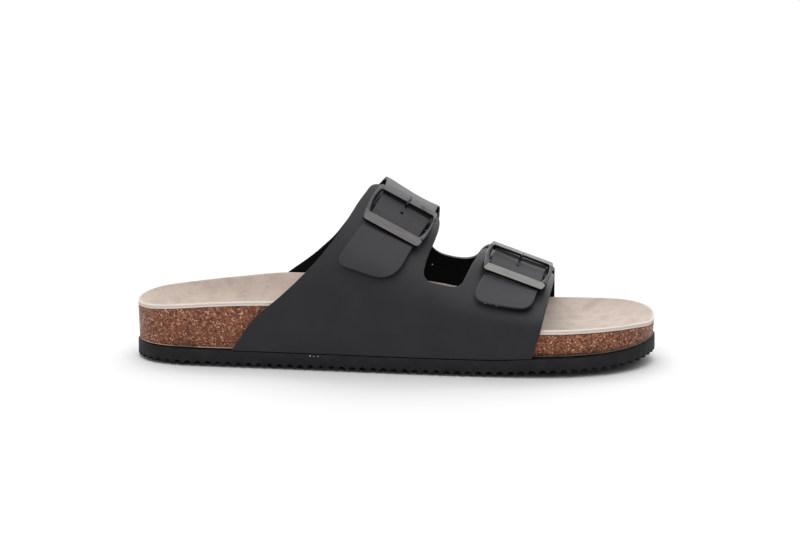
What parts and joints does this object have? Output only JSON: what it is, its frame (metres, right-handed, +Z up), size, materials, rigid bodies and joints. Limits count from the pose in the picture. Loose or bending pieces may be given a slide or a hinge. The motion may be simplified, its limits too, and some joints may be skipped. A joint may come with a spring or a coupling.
{
  "type": "footbed sandal",
  "caption": "Flat open sandal for the right foot: moulded cork footbed with suede lining, toothed foam sole, and broad black straps over the instep, closed by metal buckles on the outer side.",
  "frame": {"origin": "on the floor, under the middle of the sandal's box", "axes": "+X from the heel to the toes, +Y to the inner side of the right foot, +Z up"},
  "size_m": [0.28, 0.098, 0.0973],
  "materials": {
    "outsole_rubber": "matte foam rubber",
    "cork": "bare cork granules in latex",
    "suede_lining": "napped suede",
    "coated_upper": "matte coated, fine grain",
    "gunmetal": "brushed gunmetal"
  },
  "bodies": {
    "root": {"outsole": "outsole_rubber", "cork_midsole": "cork", "suede_insole": "suede_lining", "outer_quarter": "coated_upper", "inner_quarter": "coated_upper", "rear_buckle": "gunmetal", "front_buckle": "gunmetal", "rear_rod": "gunmetal", "front_rod": "gunmetal", "rear_prong": "gunmetal", "front_prong": "gunmetal"}
  },
  "joints": []
}
